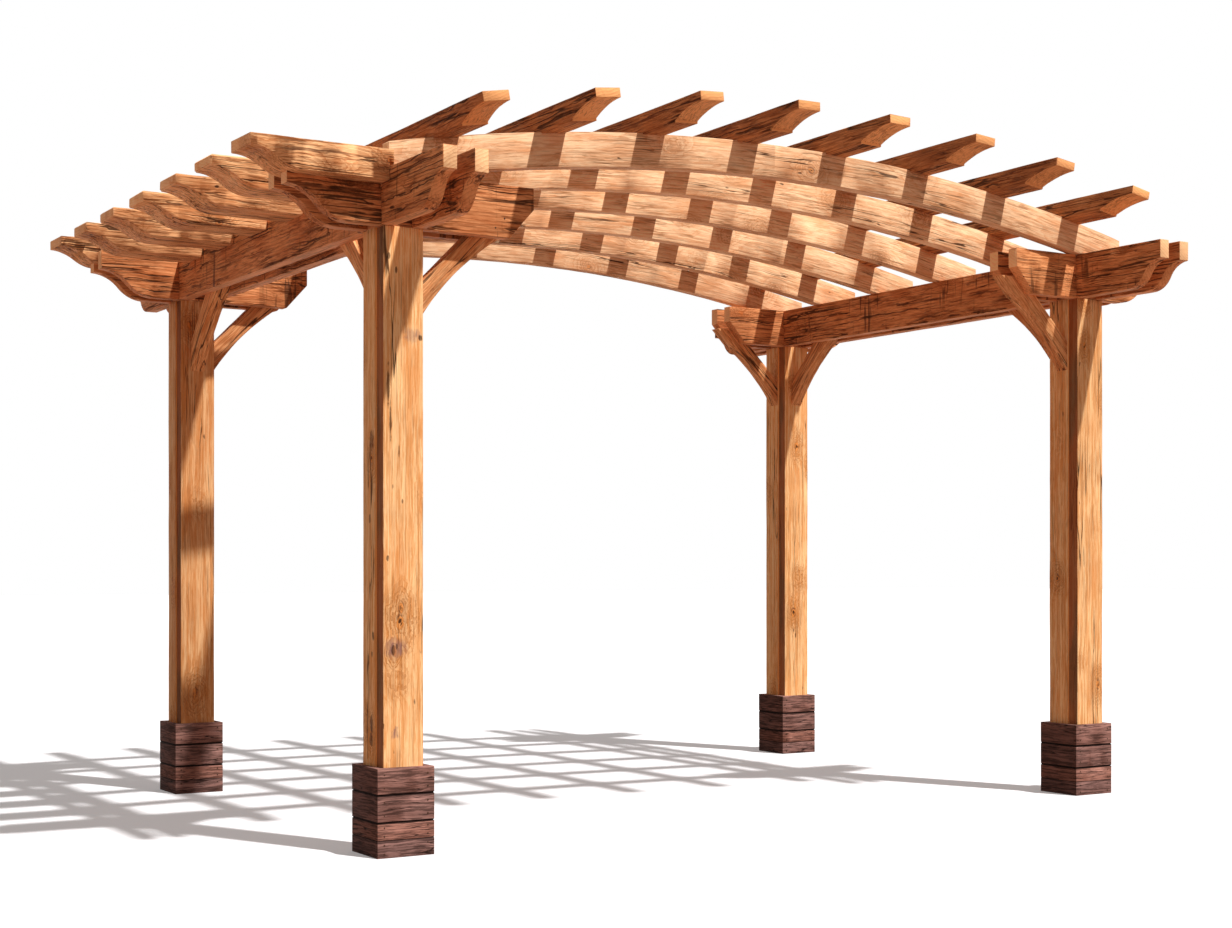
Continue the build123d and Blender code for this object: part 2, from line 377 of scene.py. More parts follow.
        # Close grain lines that part round the knots.
        part = swirl * 0.02
        drawn = shader.noise(u * 0.9 + 51, (v_fine + part) * 80, (w_fine + part) * 80, 2.0, 0.55)
        skin = shader.mix(shader.fade(drawn, 0.38, 0.48) * along * lines, skin, honey)
        skin = shader.mix(shader.smooth(drawn, 0.50, 0.59) * along * lines, skin, amber)
    if cut:
        # Fresh end grain, and painted bounce light on the coves of the purlins.
        fresh_and_lit = shader.attribute("cut", "Fac")
        skin = shader.mix(fresh_and_lit * (fine * -0.3 - late * 0.2 + 0.95), skin, cut)
        smear, streak, fleck = smear * (1 - fresh_and_lit), streak * (1 - fresh_and_lit), fleck * (1 - fresh_and_lit)
        check, vein = check * (1 - fresh_and_lit * 0.8), vein * (1 - fresh_and_lit * 0.4)
    skin = shader.mix(vein * veins, skin, deeper(rusty, 0.42))
    skin = shader.mix(smear * smears, skin, deeper(umber, 1.6))
    skin = shader.mix(streak * streaks, skin, umber)
    skin = shader.mix(halo * 0.2, skin, deeper(amber, 0.85))
    skin = shader.mix(loops * 0.7, skin, deeper(rusty, 0.55))
    skin = shader.mix(knot * 0.6, skin, (amber[0] * 1.15, amber[1] * 0.95, amber[2] * 0.6))
    skin = shader.mix(rim * 0.75, skin, deeper(umber, 1.7))
    skin = shader.mix(eye * 0.95, skin, deeper(umber, 0.5))
    for bruise_u, bruise_v, bruise_w, size in bruises:
        near = shader.away((u - bruise_u) * 1.2, v - bruise_v, w - bruise_w) + ragged * 0.06
        sore = shader.fade(near, size * 0.25, size) * (fine * 0.5 + 0.42)
        skin = shader.mix(sore, skin, timber.bruise)
    skin = shader.mix(check * 0.9, skin, deeper(umber, 0.5))
    skin = shader.mix(fleck, skin, deeper(umber, 0.35))
    for spot_u, spot_v, spot_w, tall, wide, depth in spots:
        near = shader.away((u - spot_u) / tall, (v - spot_v) / wide, (w - spot_w) / wide) + ragged * 1.3
        dark = shader.fade(near, 0.55, 1.05) * (fine * 0.3 + 0.7) * depth
        skin = shader.mix(dark, skin, deeper(umber, 0.5))
    if drips:
        # Rain has run down the sides in dark lines.
        drip = shader.smooth(shader.noise(u * 42, v * 3.4, w * 9, 2.0, 0.5), 0.57, 0.66)
        drip = drip * shader.smooth(shader.noise(u * 2.3 + 5, v * 2, w * 9), 0.46, 0.58) * along
        skin = shader.mix(drip * drips, skin, deeper(umber, 0.8))
        # Painted bounce light on the undersides, and the cut ends are cleaner.
        skin = shader.mix(shader.attribute("under", "Fac") * 0.45, skin, timber.underside_bounce)
        skin = shader.mix(shader.smooth(end, 0.92, 1.0) * (0.8 - late * 0.3), skin, timber.beam_end)
    worn = arris * shader.smooth(shader.noise(u * 14, v * 20, w * 20), 0.42, 0.62)
    skin = shader.mix(worn * 0.4, skin, (honey[0], honey[1] * 1.05, honey[2] * 1.15))
    if lines:
        # Painted shade darkens the set-in corners, and a painted highlight lights the narrow ledges beside
        # them.
        painted_recess_shade = shader.mix(shader.smooth(cloud, 0.45, 0.62), timber.recess_shade, deeper(umber, 1.3))
        skin = shader.mix(shader.attribute("shaded_recess", "Fac") * 0.85, skin, painted_recess_shade)
        skin = shader.mix(shader.attribute("ledge_highlight", "Fac") * 0.75, skin, timber.ledge_highlight)
    # A darker piece is also a little redder.
    shade = tone * 0.22 + cloud * clouds + (0.97 - clouds * 0.5)
    red = (1 - tone) * 0.06
    skin = shader.mix(1.0, skin, shader.vector(shade, shade - red, shade - red * 1.3), "MULTIPLY")
    relief = fibre * 0.5 + thread * 0.4 + late * 0.30 + band * 0.5
    relief = relief - check * 1.8 - rim * 0.5 - eye * 0.6 - fleck * 0.8
    return shader.finish(skin, fibre * 0.22 + check * 0.2 + 0.56, relief, 0.7, 0.004)


def plinth_material(joints):
    """Dark stained boards with reddish streaks; joints lists the height and half width of each dark joint."""
    plinth = bpy.context.scene.pergola_plinth
    soot = tuple(plinth.soot)
    shader = Shader("plinth_boards")
    u, v, w = shader.parts(shader.attribute("grain", "Vector"))
    tone = shader.attribute("tone", "Fac")
    arris = shader.attribute("arris", "Fac")
    wave = (shader.noise(u * 8, v * 16, w * 16, 2.0) - 0.5) * 0.012
    fibre = shader.noise(u * 9, (v + wave) * 150, w * 150, 4.0, 0.7)
    band = shader.noise(u * 3.2, (v + wave) * 62, w * 62, 3.0, 0.62)
    cloud = shader.noise(u * 6, v * 14, w * 14, 3.0)
    split = shader.noise(u * 3 + 3.1, (v + wave) * 46, w * 46, 1.5) - 0.5
    check = shader.thin(split, 0.003, 0.022) * shader.smooth(cloud, 0.44, 0.58)
    away = shader.nearest((u, v, w), 5, 7, 1.3)
    knot = shader.fade(away, 0.010, 0.018)
    rim = shader.thin(away - 0.020, 0.0, 0.008)
    skin = shader.mix(shader.smooth(band, 0.42, 0.64), plinth.walnut, plinth.russet)
    skin = shader.mix(tone * 0.5, skin, plinth.chestnut)
    skin = shader.mix(shader.smooth(fibre, 0.46, 0.57) * 0.66, skin, soot)
    skin = shader.mix(knot * 0.5, skin, soot)
    skin = shader.mix(rim * 0.35, skin, plinth.russet)
    skin = shader.mix(check * 0.9, skin, soot)
    skin = shader.mix(arris * 0.3, skin, plinth.russet)
    # The sides that face away from the sun get painted shade.
    shade = (tone * 0.35 + cloud * 0.5 + 0.72) * (1 - shader.attribute("damp", "Fac") * 0.48)
    skin = shader.mix(1.0, skin, shader.vector(shade, shade, shade), "MULTIPLY")
    z = shader.position()[2]
    for height, half in joints:
        dark = shader.thin(z - height, half, half + 0.0015)
        skin = shader.mix(dark * 0.92, skin, deeper(soot, 0.4))
    relief = fibre * 0.6 + band * 0.5 - check * 1.5 - rim * 0.4
    return shader.finish(skin, fibre * 0.2 + 0.6, relief, 0.6, 0.003, 0.03)


def straight(axis, across, offset):
    """Grain along a straight axis; offset moves the piece through the tree."""
    side = axis.cross(across)

    def place(point):
        return (point.dot(axis) + offset[0], point.dot(across) + offset[1], point.dot(side) + offset[2])

    return place


def curved(centre_x, centre_z, radius, offset):
    """Grain that follows an arch."""

    def place(point):
        dx, dz = point.x - centre_x, point.z - centre_z
        turn = math.atan2(dx, dz)
        return (radius * turn + offset[0], math.hypot(dx, dz) - radius + offset[1], point.y + offset[2])

    return place


def seeded(seed):
    """Three steady numbers from 0 to 1."""
    return [(math.sin(seed * 12.9898 + k * 78.233) * 43758.5453) % 1.0 for k in (1, 2, 3)]


def mark_faces(mesh, name, rule):
    """Writes a number on every face, for the material to read."""
    layer = mesh.attributes.new(name, "FLOAT", "FACE")
    layer.data.foreach_set("value", [float(rule(face)) for face in mesh.polygons])


def add_piece(name, mesh, node=None):
    """Links a mesh as a piece on the root body, in place of a CAD node where one is given."""
    piece = bpy.data.objects.new(name, mesh)
    bpy.context.scene.collection.objects.link(piece)
    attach(piece, "root")
    if node:
        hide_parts(node)
    return piece


def sawn_piece(
    node, material, seed, axis, across, step=0.06, chipping=1.0, wander=1.0, grain=None, arris=1.0,
    tone=None,
):
    """Rough-sawn copy of a CAD node: eased corners, wandering faces and knocked edges."""
    timber = bpy.context.scene.pergola_timber
    bm = bmesh.new()
    bm.from_mesh(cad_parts[node].data)
    bmesh.ops.remove_doubles(bm, verts=bm.verts, dist=1e-5)
    bmesh.ops.dissolve_limit(bm, angle_limit=math.radians(0.5), verts=bm.verts, edges=bm.edges)
    sharp = [
        edge for edge in bm.edges
        if len(edge.link_faces) == 2 and edge.calc_face_angle(0.0) > math.radians(28)
    ]
    layer = bm.verts.layers.float.new("arris")
    eased = bmesh.ops.bevel(
        bm, geom=sharp, offset=timber.arris * arris, offset_type="OFFSET", segments=2, profile=0.55,
        affect="EDGES", clamp_overlap=True,
    )
    eased_faces = set(eased["faces"])
    for vert in eased["verts"]:
        if all(face in eased_faces for face in vert.link_faces):
            vert[layer] = 1.0
    reach = [vert.co.dot(axis) for vert in bm.verts]
    low, high = min(reach), max(reach)
    count = max(2, round((high - low) / step))
    for i in range(1, count):
        bmesh.ops.bisect_plane(
            bm, geom=bm.verts[:] + bm.edges[:] + bm.faces[:], dist=1e-6,
            plane_co=axis * (low + (high - low) * (i + 0.13) / count), plane_no=axis,
        )
    bm.normal_update()
    shift = Vector((seed * 3.7, seed * 1.9, seed * 5.3))
    moves = []
    for vert in bm.verts:
        slow = noise.noise(vert.co * 2.3 + shift)
        quick = noise.noise(vert.co * 11.0 + shift)
        move = timber.wander * wander * (slow + 0.55 * quick)
        knock = noise.noise(vert.co * 17.0 + shift * 1.7)
        move -= vert[layer] * timber.chipping * chipping * max(0.0, knock) ** 1.3
        moves.append(vert.normal * move)
    for vert, move in zip(bm.verts, moves):
        vert.co += move
        vert.co.z = max(vert.co.z, 0.0)
    bm.normal_update()
    mesh = bpy.data.meshes.new(f"{node}_sawn")
    bm.to_mesh(mesh)
    bm.free()
    a, b, c = seeded(seed)
    place = grain or straight(axis, across, (a * 40, 0.02 + b * 0.12, 0.05 + c * 0.12))
    mark_faces(
        mesh, "end_grain", lambda face: min(1.0, max(0.0, abs(face.normal.dot(axis)) * 1.9 - 0.7))
    )
    coords = mesh.attributes.new("grain", "FLOAT_VECTOR", "POINT")
    coords.data.foreach_set("vector", [number for vert in mesh.vertices for number in place(vert.co)])
    if tone is None:
        tone = seeded(seed + 0.5)[0]
    tones = mesh.attributes.new("tone", "FLOAT", "POINT")
    tones.data.foreach_set("value", [tone(vert.co) if callable(tone) else tone for vert in mesh.vertices])
    mesh.materials.append(material)
    mesh.shade_smooth()
    mesh.set_sharp_from_angle(angle=math.radians(30))
    return add_piece(f"{node}_sawn", mesh, node)


# Marks on the posts' front faces, each with a share of the way across and a height in metres.
# Knots also have the number of the post and a size, with a double knot low on the first post.
FRONT_KNOTS = (
    (0, 0.45, 0.945, 0.9), (0, 0.44, 0.892, 1.25), (0, 0.28, 0.785, 0.8), (1, 0.79, 0.53, 0.9),
    (1, 0.30, 2.17, 0.7), (2, 0.43, 0.485, 1.1), (3, 0.52, 1.81, 0.9), (3, 0.39, 0.83, 1.0),
)
# Grey bruises on the first post, with a radius.
FRONT_BRUISES = ((0.32, 0.795, 0.062), (0.70, 1.99, 0.048), (0.31, 0.47, 0.028))
# Dark spots and cracks on the first post, with half a length, half a width and a depth of colour.
FRONT_SPOTS = (
    (0.88, 1.98, 0.012, 0.010, 1.0), (0.16, 1.79, 0.085, 0.007, 0.95), (0.21, 1.66, 0.095, 0.006, 0.9),
    (0.40, 1.545, 0.030, 0.005, 0.6), (0.17, 2.285, 0.014, 0.007, 1.0), (0.34, 2.235, 0.014, 0.006, 0.9),
    (0.48, 1.353, 0.011, 0.005, 0.8), (0.27, 0.785, 0.022, 0.010, 0.9), (0.35, 0.80, 0.016, 0.006, 0.7),
)
# The same on the left face of the first post.
LEFT_KNOTS = ((0.46, 1.52, 0.8), (0.5, 0.46, 0.8))
LEFT_SPOTS = (
    (0.46, 1.59, 0.050, 0.020, 0.75), (0.55, 1.29, 0.022, 0.010, 0.8), (0.38, 0.84, 0.022, 0.012, 1.0),
    (0.22, 0.70, 0.014, 0.010, 0.7), (0.46, 0.50, 0.042, 0.015, 0.9), (0.48, 0.44, 0.024, 0.018, 0.8),
)
POST_TONES = (0.72, 0.6, -0.3, 1.0)


class PERGOLA_OT_posts(bpy.types.Operator):
    """Dresses the four posts"""

    bl_idname = "pergola.posts"
    bl_label = "Posts"

    def execute(self, context):
        timber = context.scene.pergola_timber
        places = [straight(ALONG_Z, ALONG_X, (k * 7.1, 1.81 + 0.9 * k, 1.20 + 0.7 * k)) for k in range(4)]

        def front(share, height, number=0):
            """Place in the tree of a point on a post's front face."""
            low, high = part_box(f"post_{CORNERS[number]}")
            return places[number](Vector((low.x + (high.x - low.x) * share, low.y, height)))

        def left(share, height):
            """Place in the tree of a point on the first post's left face."""
            low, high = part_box(f"post_{CORNERS[0]}")
            return places[0](Vector((low.x, low.y + (high.y - low.y) * share, height)))

        marks = [(*front(share, height, number), size) for number, share, height, size in FRONT_KNOTS]
        marks += [(*left(share, height), size) for share, height, size in LEFT_KNOTS]
        bruises = [(*front(share, height), size) for share, height, size in FRONT_BRUISES]
        spots = [(*front(share, height), *rest) for share, height, *rest in FRONT_SPOTS]
        spots += [(*left(share, height), *rest) for share, height, *rest in LEFT_SPOTS]
        material = timber_material(
            "post_timber", timber.honey, timber.amber, streaks=0.35, checks=0.3, flecks=0.7, rings=0.22,
            veins=0.3, smears=0.2, clouds=0.22, grit=195, lines=0.55, marks=marks, bruises=bruises, spots=spots,
        )
        for number, corner in enumerate(CORNERS):
            piece = sawn_piece(
                f"post_{corner}", material, 3 + number, ALONG_Z, ALONG_X, 0.07,
                grain=places[number], tone=POST_TONES[number],
            )
            low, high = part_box(f"post_{corner}")
            middle, half = (low + high) / 2, (high.x - low.x) / 2

            def set_in(face):
                """The set-in side faces at the front, which get painted shade."""
                inside = abs(face.center.x - middle.x) < half - 0.005
                return abs(face.normal.x) > 0.9 and inside and face.center.y < middle.y

            def ledge_highlight(face):
                """The narrow ledges beside the set-in faces, which get a painted highlight."""
                return abs(face.normal.y) > 0.9 and abs(face.center.x - middle.x) > half - 0.009

            mark_faces(piece.data, "shaded_recess", set_in)
            mark_faces(piece.data, "ledge_highlight", ledge_highlight)
        return {"FINISHED"}


def gap_shade_material():
    """Near-black packing strip, painted shade for the gaps between the plinth courses."""
    plinth = bpy.context.scene.pergola_plinth
    shader = Shader("gap_strip")
    x, y, z = shader.position()
    fibre = shader.noise(x * 30, y * 30, z * 300, 3.0)
    skin = shader.mix(shader.smooth(fibre, 0.4, 0.6), deeper(plinth.soot, 0.5), deeper(plinth.walnut, 0.12))
    return shader.finish(skin, fibre * 0.2 + 0.7, fibre, 0.4, 0.001, 0.03)


def course_levels(corner):
    """Heights of the undersides and tops of the plinth courses, from the ground up."""
    return sorted({round(vert.co.z, 4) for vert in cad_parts[f"plinth_{corner}"].data.vertices})


def course_gaps(corner):
    """Bottom and top of each gap between the plinth courses."""
    levels = course_levels(corner)
    return list(zip(levels[1:-1:2], levels[2::2]))


def shade_gap_strips():
    """Near-black packing strips that close the gaps between the plinth courses, set back from the boards, as
    painted shade in the gaps.
    """
    plinth = bpy.context.scene.pergola_plinth
    verts, faces = [], []
    for corner in CORNERS:
        low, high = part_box(f"plinth_{corner}")
        post_low, post_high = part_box(f"post_{corner}")
        back, slack = plinth.strip_inset, plinth.strip_inset / 4
        outer = (low.x + back, low.y + back, high.x - back, high.y - back)
        inner = (post_low.x - slack, post_low.y - slack, post_high.x + slack, post_high.y + slack)
        for under, over in course_gaps(corner):
            first = len(verts)
            for z in (under, over):
                for x0, y0, x1, y1 in (outer, inner):
                    verts += [(x0, y0, z), (x1, y0, z), (x1, y1, z), (x0, y1, z)]
            for k in range(4):
                a, b = first + k, first + (k + 1) % 4
                faces += [(a, b, b + 8, a + 8), (b + 4, a + 4, a + 12, b + 12)]
                faces += [(b, a, a + 4, b + 4), (a + 8, b + 8, b + 12, a + 12)]
    mesh = bpy.data.meshes.new("plinth_shade_strips")
    mesh.from_pydata(verts, [], faces)
    mesh.materials.append(gap_shade_material())
    add_piece("plinth_shade_strips", mesh)


COURSE_TONES = (0.1, 0.95, 0.3, 0.5)


class PERGOLA_OT_plinths(bpy.types.Operator):
    """Dresses the dark boards round the post feet"""

    bl_idname = "pergola.plinths"
    bl_label = "Plinths"

    def execute(self, context):
        plinth = context.scene.pergola_plinth
        joints = [
            ((under + over) / 2, (over - under) * plinth.joint_share) for under, over in course_gaps(CORNERS[0])
        ]
        material = plinth_material(joints)

        def board_tone(point):
            """Each course has a tone of its own, the second from below the reddest."""
            return COURSE_TONES[sum(point.z > height for height, half in joints)]

        for number, corner in enumerate(CORNERS):
            a, b = seeded(13 + number)[:2]

            def wrapped(point, shift=(a * 20, b * 9)):
                """Grain that runs round the four sides."""
                return (point.x + point.y + shift[0], point.z + shift[1], (point.x - point.y) * 0.01)

            piece = sawn_piece(
                f"plinth_{corner}", material, 13 + number, ALONG_X, ALONG_Z, step=0.03,
                chipping=0.5, wander=0.5, grain=wrapped, arris=0.5, tone=board_tone,
            )
            # Painted shade on the sides that face away from the sun.
            mark_faces(piece.data, "damp", lambda face: face.normal.x < -0.7)
        shade_gap_strips()
        return {"FINISHED"}


HEAD_TONES = (0.35, 1.5, 0.5, 0.6)


class PERGOLA_OT_beams(bpy.types.Operator):
    """Dresses the paired beams and the cross heads"""

    bl_idname = "pergola.beams"
    bl_label = "Beams and heads"

    def execute(self, context):
        timber = context.scene.pergola_timber
        material = timber_material(
            "beam_timber", timber.beam_honey, timber.beam_amber, streaks=0.85, checks=1.2, knots=0.9,
            flecks=0.7, rings=0.42, veins=0.85, waving=0.024, smears=0.85, clouds=0.6, grit=95, drips=0.75,
        )
        pieces = []
        for number, side in enumerate(("left_outer", "left_inner", "right_inner", "right_outer")):
            pieces.append(
                sawn_piece(f"beam_{side}", material, 21 + number, ALONG_Y, ALONG_Z, 0.06)
            )
        for number, corner in enumerate(CORNERS):
            pieces.append(
                sawn_piece(
                    f"cross_head_{corner}", material, 31 + number, ALONG_X, ALONG_Z, 0.05,
                    tone=HEAD_TONES[number],
                )
            )
        # The flat undersides get painted bounce light.
        for piece in pieces:
            mark_faces(piece.data, "under", lambda face: face.normal.z < -0.97)
        return {"FINISHED"}


class PERGOLA_OT_braces(bpy.types.Operator):
    """Dresses the knee braces"""

    bl_idname = "pergola.braces"
    bl_label = "Knee braces"

    def execute(self, context):
        timber = context.scene.pergola_timber
        material = timber_material(
            "brace_timber", timber.brace_honey, timber.brace_amber, streaks=0.5, checks=0.7, knots=0.5,
            flecks=0.4, rings=0.3, smears=0.4, grit=95,
        )
        for number, corner in enumerate(CORNERS):
            way_x = 1 if corner.endswith("left") else -1
            way_y = 1 if corner.startswith("front") else -1
            across = Vector((way_x, 0, 1)).normalized()
            along = Vector((0, way_y, 1)).normalized()
            sawn_piece(f"brace_across_{corner}", material, 41 + number, across, ALONG_Y, 0.05)
            sawn_piece(f"brace_along_{corner}", material, 51 + number, along, ALONG_X, 0.05)
        return {"FINISHED"}


def arch_circle(node):
    """Centre and radius of an arch's top edge, from its crown and its left end."""
    verts = [vert.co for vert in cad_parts[node].data.vertices]
    crown = max(verts, key=lambda point: point.z)
    left = min(verts, key=lambda point: (round(point.x, 3), -point.z))
    run, drop = crown.x - left.x, crown.z - left.z
    radius = (run * run + drop * drop) / (2 * drop)
    return crown.x, crown.z - radius, radius


class PERGOLA_OT_arches(bpy.types.Operator):
    """Dresses the arched rafters"""

    bl_idname = "pergola.arches"
    bl_label = "Arched rafters"

    def execute(self, context):
        timber = context.scene.pergola_timber
        material = timber_material(
            "arch_timber", timber.arch_honey, timber.arch_amber, streaks=0.25, checks=0.35, knots=0.9,
            flecks=0.8, rings=0.34, veins=0.6, waving=0.014, smears=0.3, grit=110,
        )
        for number in range(1, ARCHES + 1):
            node = f"arch_rafter_{number}"
            a, b, c = seeded(60 + number)
            grain = curved(*arch_circle(node), (a * 40, 0.03 + b * 0.1, 0.06 + c * 0.1))
            sawn_piece(node, material, 60 + number, ALONG_X, ALONG_Z, 0.06, grain=grain)
        return {"FINISHED"}


class PERGOLA_OT_tails(bpy.types.Operator):
    """Dresses the rafter tails"""

    bl_idname = "pergola.tails"
    bl_label = "Rafter tails"

    def execute(self, context):
        timber = context.scene.pergola_timber
        material = timber_material(
            "tail_timber", timber.tail_honey, timber.tail_amber, streaks=0.85, checks=1.2, knots=0.9,
            flecks=0.9, rings=0.40, veins=0.95, waving=0.024, smears=0.8, clouds=0.38, grit=95,
        )
        for number in range(1, TAILS + 1):
            sawn_piece(
                f"rafter_tail_{number}", material, 70 + number, ALONG_X, ALONG_Z, step=0.025,
                chipping=2.6, wander=2.0, arris=2.2,
            )
        return {"FINISHED"}


class PERGOLA_OT_purlins(bpy.types.Operator):
    """Dresses the purlins"""

    bl_idname = "pergola.purlins"
    bl_label = "Purlins"

    def execute(self, context):
        timber = context.scene.pergola_timber
        material = timber_material(
            "purlin_timber", timber.purlin_honey, timber.purlin_amber, streaks=0.9, checks=1.1, knots=0.6,
            flecks=0.4, rings=0.42, veins=0.9, waving=0.022, smears=0.8, clouds=0.5,
            cut=tuple(timber.purlin_end_and_cove_light),
        )
        for number in range(1, PURLINS + 1):
            node = f"purlin_{number}"
            piece = sawn_piece(node, material, 80 + number, ALONG_Y, ALONG_X, 0.06)
            low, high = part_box(node)

            def fresh_and_lit(face):
                """The end faces, fresher than the weathered sides, and the coves, which get painted bounce
                light.
                """
                from_end = min(face.center.y - low.y, high.y - face.center.y)
                return from_end < timber.cove_reach and abs(face.normal.x) < 0.55 and face.normal.z < 0.5

            mark_faces(piece.data, "cut", fresh_and_lit)
        return {"FINISHED"}


def nail_tree(material):
    """Geometry Nodes tree that sets a low nail head on every point, facing the way the point says."""
    nails = Tree(bpy.data.node_groups.new("nail_heads", "GeometryNodeTree"))
    sockets = nails.tree.interface
    sockets.new_socket("Geometry", in_out="INPUT", socket_type="NodeSocketGeometry")
    sockets.new_socket("Geometry", in_out="OUTPUT", socket_type="NodeSocketGeometry")
    kinds = {"Head radius": "Float", "Head height": "Float", "Sides": "Int", "Seed": "Int"}
    sizes = {
        name: sockets.new_socket(name, in_out="INPUT", socket_type=f"NodeSocket{kind}")
        for name, kind in kinds.items()
    }
    given = nails.node("NodeGroupInput").outputs
    head = nails.node(
        "GeometryNodeMeshCone",
        (),
        {
            "Vertices": given["Sides"],
            "Radius Top": Value(nails, given["Head radius"]) * 0.72,
            "Radius Bottom": given["Head radius"],
            "Depth": given["Head height"],
        },
    )
    facing = nails.node("GeometryNodeInputNamedAttribute", {"data_type": "FLOAT_VECTOR"}, {"Name": "facing"})
    turn = nails.node(
        "FunctionNodeAlignRotationToVector", {"axis": "Z"}, {"Vector": facing.outputs["Attribute"]}
    )
    spread = nails.node(
        "FunctionNodeRandomValue", {"data_type": "FLOAT"}, {2: 0.85, 3: 1.12, "Seed": given["Seed"]}
    )
    placed = nails.node(
        "GeometryNodeInstanceOnPoints",
        (),
        {
            "Points": given["Geometry"],
            "Instance": head.outputs["Mesh"],
            "Rotation": turn.outputs["Rotation"],
            "Scale": spread.outputs[1],
        },
    )
    real = nails.node("GeometryNodeRealizeInstances", (), {"Geometry": placed.outputs["Instances"]})
    painted = nails.node(
        "GeometryNodeSetMaterial", (), {"Geometry": real.outputs["Geometry"], "Material": material}
    )
    nails.node("NodeGroupOutput", (), {"Geometry": painted.outputs["Geometry"]})
    return nails.tree, sizes


def nail_material():
    """Dull dark iron with rust."""
    fixing = bpy.context.scene.pergola_fixing
    shader = Shader("nail_iron")
    x, y, z = shader.position()
    rust = shader.noise(x * 400, y * 400, z * 400, 3.0)
    skin = shader.mix(shader.smooth(rust, 0.45, 0.65), fixing.iron, fixing.rust)
    return shader.finish(skin, rust * 0.3 + 0.45, rust, 0.4, 0.0004)


def nail_piece(name, places, tree, sizes, fixing):
    """Nail heads on a list of (place, way they face), as one plain mesh."""
    if not places:
        raise RuntimeError(f"no place for {name}")
    points = bpy.data.meshes.new(name)
    points.from_pydata([tuple(place) for place, way in places], [], [])
    facing = points.attributes.new("facing", "FLOAT_VECTOR", "POINT")
    facing.data.foreach_set("vector", [number for place, way in places for number in way])
    piece = bpy.data.objects.new(name, points)
    bpy.context.scene.collection.objects.link(piece)
    modifier = piece.modifiers.new("nail_heads", "NODES")
    modifier.node_group = tree
    values = {
        "Head radius": fixing.head_radius, "Head height": fixing.head_height, "Sides": fixing.sides,
        "Seed": fixing.seed,
    }
    for key, value in values.items():
        modifier[sizes[key].identifier] = value
    graph = bpy.context.evaluated_depsgraph_get()
    mesh = bpy.data.meshes.new_from_object(piece.evaluated_get(graph), depsgraph=graph)
    piece.modifiers.clear()
    piece.data = mesh
    if not mesh.polygons:
        raise RuntimeError(f"{name} came out empty")
    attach(piece, "root")


class PERGOLA_OT_fixings(bpy.types.Operator):
    """Sets the nail heads"""

    bl_idname = "pergola.fixings"
    bl_label = "Nail heads"

    def execute(self, context):
        fixing = context.scene.pergola_fixing
        tree, sizes = nail_tree(nail_material())
        inset = fixing.inset

        # Two nails in each end of every plinth board.
        boards = []
        for corner in CORNERS:
            levels = course_levels(corner)
            low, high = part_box(f"plinth_{corner}")
            for under, over in zip(levels[0::2], levels[1::2]):
                for share in (0.25, 0.75):
                    z = under + (over - under) * share
                    for x in (low.x + inset, high.x - inset):
                        boards.append(((x, low.y, z), (0, -1, 0)))
                        boards.append(((x, high.y, z), (0, 1, 0)))
        nail_piece("plinth_nails", boards, tree, sizes, fixing)

        # A pair on top of each purlin over every arch.
        crossings = []
        centre_x, centre_z = arch_circle("arch_rafter_1")[:2]
        centre = Vector((centre_x, 0, centre_z))
        for number in range(1, PURLINS + 1):
            low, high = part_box(f"purlin_{number}")
            up = (Vector(((low.x + high.x) / 2, 0, (low.z + high.z) / 2)) - centre).normalized()
            side = Vector((up.z, 0, -up.x))
            top = max(
                (Vector((vert.co.x, 0, vert.co.z)) - centre).dot(up)
                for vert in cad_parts[f"purlin_{number}"].data.vertices
            )
            for arch in range(1, ARCHES + 1):
                near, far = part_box(f"arch_rafter_{arch}")
                for way in (-1, 1):
                    place = centre + up * top + side * (way * inset)
                    place.y = (near.y + far.y) / 2 + way * fixing.stagger
                    crossings.append((place, up))
        nail_piece("purlin_nails", crossings, tree, sizes, fixing)

        # Nails through the outer planks into the braces and the post tenons.
        planks = []
        for corner in CORNERS:
            way_y = -1 if corner.startswith("front") else 1
            way_x = -1 if corner.endswith("left") else 1
            head_low, head_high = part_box(f"cross_head_{corner}")
            face_y = head_low.y if way_y < 0 else head_high.y
            beam_low, beam_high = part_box(f"beam_{corner[corner.index('_') + 1:]}_outer")
            face_x = beam_low.x if way_x < 0 else beam_high.x
            post_low, post_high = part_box(f"post_{corner}")
            mid_x, mid_y = (post_low.x + post_high.x) / 2, (post_low.y + post_high.y) / 2
            half = (post_high.x - post_low.x) / 2
            for rise in (0.035, 0.075):
                z, reach = head_low.z + rise, half + fixing.brace_reach + rise
                planks.append(((mid_x - way_x * reach, face_y, z), (0, way_y, 0)))
                planks.append(((face_x, mid_y - way_y * reach, z), (way_x, 0, 0)))
            for z in (head_low.z + 0.045, head_low.z + 0.135):
                for shift in (-fixing.tenon_spread, fixing.tenon_spread):
                    planks.append(((mid_x + shift, face_y, z), (0, way_y, 0)))
                    planks.append(((face_x, mid_y + shift, z), (way_x, 0, 0)))
        nail_piece("plank_nails", planks, tree, sizes, fixing)
        return {"FINISHED"}


def looked_at(tree):
    """1 for what is seen straight or in a reflection, 0 for light on its way between surfaces."""
    path = tree.node("ShaderNodeLightPath").outputs
    mirrored = tree.sum("MAXIMUM", path["Is Glossy Ray"], path["Is Transmission Ray"])
    return tree.sum("MAXIMUM", path["Is Camera Ray"], mirrored)


